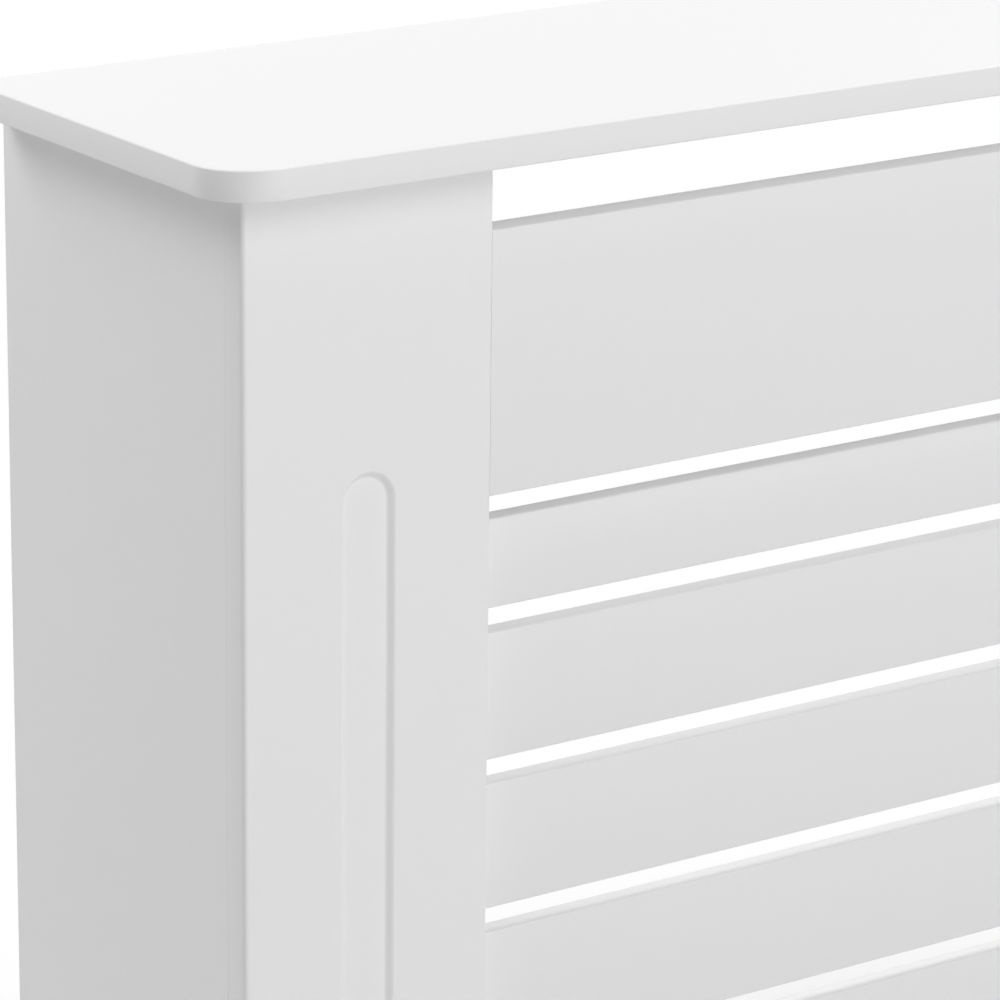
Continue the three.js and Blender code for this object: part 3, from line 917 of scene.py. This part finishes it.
def floor_plane(half_size):
    """A square floor at Z 0."""
    mesh = bpy.data.meshes.new("studio_floor")
    corners = np.array([(-1, -1, 0), (1, -1, 0), (1, 1, 0), (-1, 1, 0)], float) * half_size
    mesh.from_pydata(corners.tolist(), [], [(0, 1, 2, 3)])
    mesh.materials.append(floor_material())
    floor = bpy.data.objects.new("studio_floor", mesh)
    bpy.context.scene.collection.objects.link(floor)


# Where each lamp stands round the object: azimuth from the front towards the right, and height, in degrees.
LAMP_DIRECTIONS = {
    "high_front": (10, 40),
    "low_front": (10, 8),
    "left": (-90, 40),
    "left_rear": (-140, 45),
    "right_rear": (115, 40),
}


def soft_lamp(name, azimuth, elevation, settings, power):
    """A square area lamp at a direction from the object, turned to it, that the camera doesn't see."""
    around, above = math.radians(azimuth), math.radians(elevation)
    level = math.cos(above)
    away = Vector((math.sin(around) * level, -math.cos(around) * level, math.sin(above)))
    data = bpy.data.lights.new(name, "AREA")
    data.shape = "SQUARE"
    data.size = settings.lamp_size
    data.energy = power
    lamp = bpy.data.objects.new(name, data)
    lamp.location = LAMP_AIM + settings.lamp_distance * away
    lamp.rotation_euler = (-away).to_track_quat("-Z", "Y").to_euler()
    lamp.visible_camera = False
    bpy.context.scene.collection.objects.link(lamp)


def photo_camera(lens):
    """The camera of the photograph: a long lens that looks down at the left corner, with a slight roll."""
    data = bpy.data.cameras.new("photo_camera")
    data.lens = lens
    data.sensor_width = SENSOR_WIDTH
    data.dof.use_dof = False
    data.clip_start = CLIP_START
    data.clip_end = CLIP_END
    camera = bpy.data.objects.new("photo_camera", data)
    yaw, pitch, roll = (math.radians(a) for a in (CAMERA_YAW, CAMERA_PITCH, CAMERA_ROLL))
    forward = Vector((math.sin(yaw) * math.cos(pitch), math.cos(yaw) * math.cos(pitch), -math.sin(pitch)))
    level = Vector((math.cos(yaw), -math.sin(yaw), 0.0))
    upright = level.cross(forward)
    right = math.cos(roll) * level + math.sin(roll) * upright
    up = -math.sin(roll) * level + math.cos(roll) * upright
    turn = Matrix((right, up, -forward)).transposed().to_4x4()
    camera.matrix_world = Matrix.Translation(CAMERA_PLACE) @ turn
    bpy.context.scene.collection.objects.link(camera)
    bpy.context.scene.camera = camera


class RADCOVER_OT_stage(bpy.types.Operator):
    """White floor and sky, five soft lamps and the camera of the photograph"""

    bl_idname = "radcover.stage"
    bl_label = "Stage"

    def execute(self, context):
        settings = context.scene.radcover_stage
        white_world(settings.sky)
        floor_plane(FLOOR_HALF_SIZE)
        for name, (azimuth, elevation) in LAMP_DIRECTIONS.items():
            power = getattr(settings, name + "_power")
            soft_lamp(name + "_lamp", azimuth, elevation, settings, power)
        photo_camera(settings.lens)
        context.scene.view_settings.view_transform = "Standard"
        return {"FINISHED"}


PIECES = (
    RADCOVER_OT_shelf,
    RADCOVER_OT_side_panels,
    RADCOVER_OT_pillars,
    RADCOVER_OT_rails,
    RADCOVER_OT_slats,
    RADCOVER_OT_battens,
    RADCOVER_OT_fittings,
    RADCOVER_OT_screws,
    RADCOVER_OT_dowels,
    RADCOVER_OT_stage,
)


class RADCOVER_PT_sidebar(bpy.types.Panel):
    """Lists the pieces of the radiator cover cabinet and its stage"""

    bl_idname = "RADCOVER_PT_sidebar"
    bl_label = "Radiator cover cabinet"
    bl_space_type = "VIEW_3D"
    bl_region_type = "UI"
    bl_category = "Radiator cover"

    def draw(self, context):
        for piece in PIECES:
            self.layout.operator(piece.bl_idname)


SETTINGS = {
    "radcover_boards": RadiatorCoverBoards,
    "radcover_flute": RadiatorCoverFlute,
    "radcover_fasteners": RadiatorCoverFasteners,
    "radcover_stage": RadiatorCoverStage,
}


def register():
    """Registers the settings, the operators and the panel."""
    for name, group in SETTINGS.items():
        bpy.utils.register_class(group)
        setattr(bpy.types.Scene, name, bpy.props.PointerProperty(type=group))
    for piece in PIECES:
        bpy.utils.register_class(piece)
    bpy.utils.register_class(RADCOVER_PT_sidebar)


def unregister():
    """Takes the panel, the operators and the settings away again."""
    bpy.utils.unregister_class(RADCOVER_PT_sidebar)
    for piece in reversed(PIECES):
        bpy.utils.unregister_class(piece)
    for name, group in SETTINGS.items():
        delattr(bpy.types.Scene, name)
        bpy.utils.unregister_class(group)


def main():
    """Builds every piece and the stage."""
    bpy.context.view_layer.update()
    register()
    bpy.ops.radcover.shelf()
    bpy.ops.radcover.side_panels()
    bpy.ops.radcover.pillars()
    bpy.ops.radcover.rails()
    bpy.ops.radcover.slats()
    bpy.ops.radcover.battens()
    bpy.ops.radcover.fittings()
    bpy.ops.radcover.screws()
    bpy.ops.radcover.dowels()
    bpy.ops.radcover.stage()


if __name__ == "__main__":
    main()
